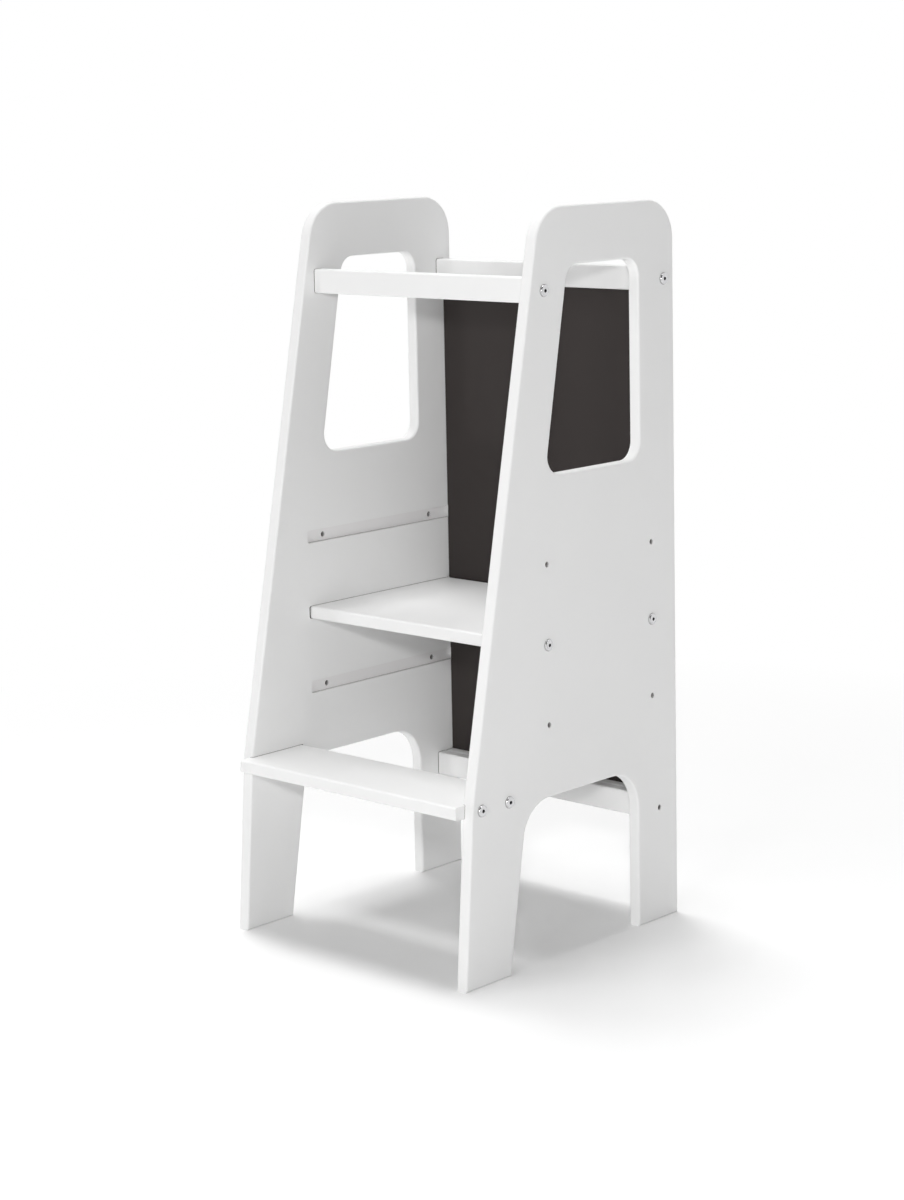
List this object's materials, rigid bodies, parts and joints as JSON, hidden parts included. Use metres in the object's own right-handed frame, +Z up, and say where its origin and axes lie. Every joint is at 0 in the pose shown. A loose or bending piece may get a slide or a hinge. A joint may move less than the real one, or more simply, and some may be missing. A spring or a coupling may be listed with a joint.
{
  "type": "toddler kitchen helper stool",
  "caption": "Free-standing kitchen helper stool: two tall side panels with hand windows carry a step, a standing platform, grab rails and a chalkboard back.",
  "frame": {"origin": "on the floor, at the middle of the footprint", "axes": "+X from the left side panel to the right one, +Y from the step to the chalkboard, +Z up"},
  "size_m": [0.3912, 0.4, 0.9],
  "materials": {
    "painted_board": "white satin paint on fibreboard",
    "chalkboard_surface": "matt dark grey chalkboard paint on thin fibreboard",
    "plated_steel": "bright zinc-plated steel",
    "beech": "plain unfinished beech"
  },
  "bodies": {
    "root": {"left_side_panel": "painted_board", "right_side_panel": "painted_board", "platform": "painted_board", "step_board": "painted_board", "front_rail": "painted_board", "back_rail": "painted_board", "lower_rail": "painted_board", "chalkboard_batten": "painted_board", "chalkboard": "chalkboard_surface", "front_rail_bolts": "plated_steel", "back_rail_bolts": "plated_steel", "platform_bolts": "plated_steel", "step_bolts": "plated_steel", "lower_rail_screws": "plated_steel", "front_rail_barrel_nuts": "plated_steel", "back_rail_barrel_nuts": "plated_steel", "platform_barrel_nuts": "plated_steel", "step_barrel_nuts": "plated_steel", "batten_screws": "plated_steel", "chalkboard_screws": "plated_steel", "front_rail_dowels": "beech", "back_rail_dowels": "beech", "lower_rail_dowels": "beech"}
  },
  "joints": []
}
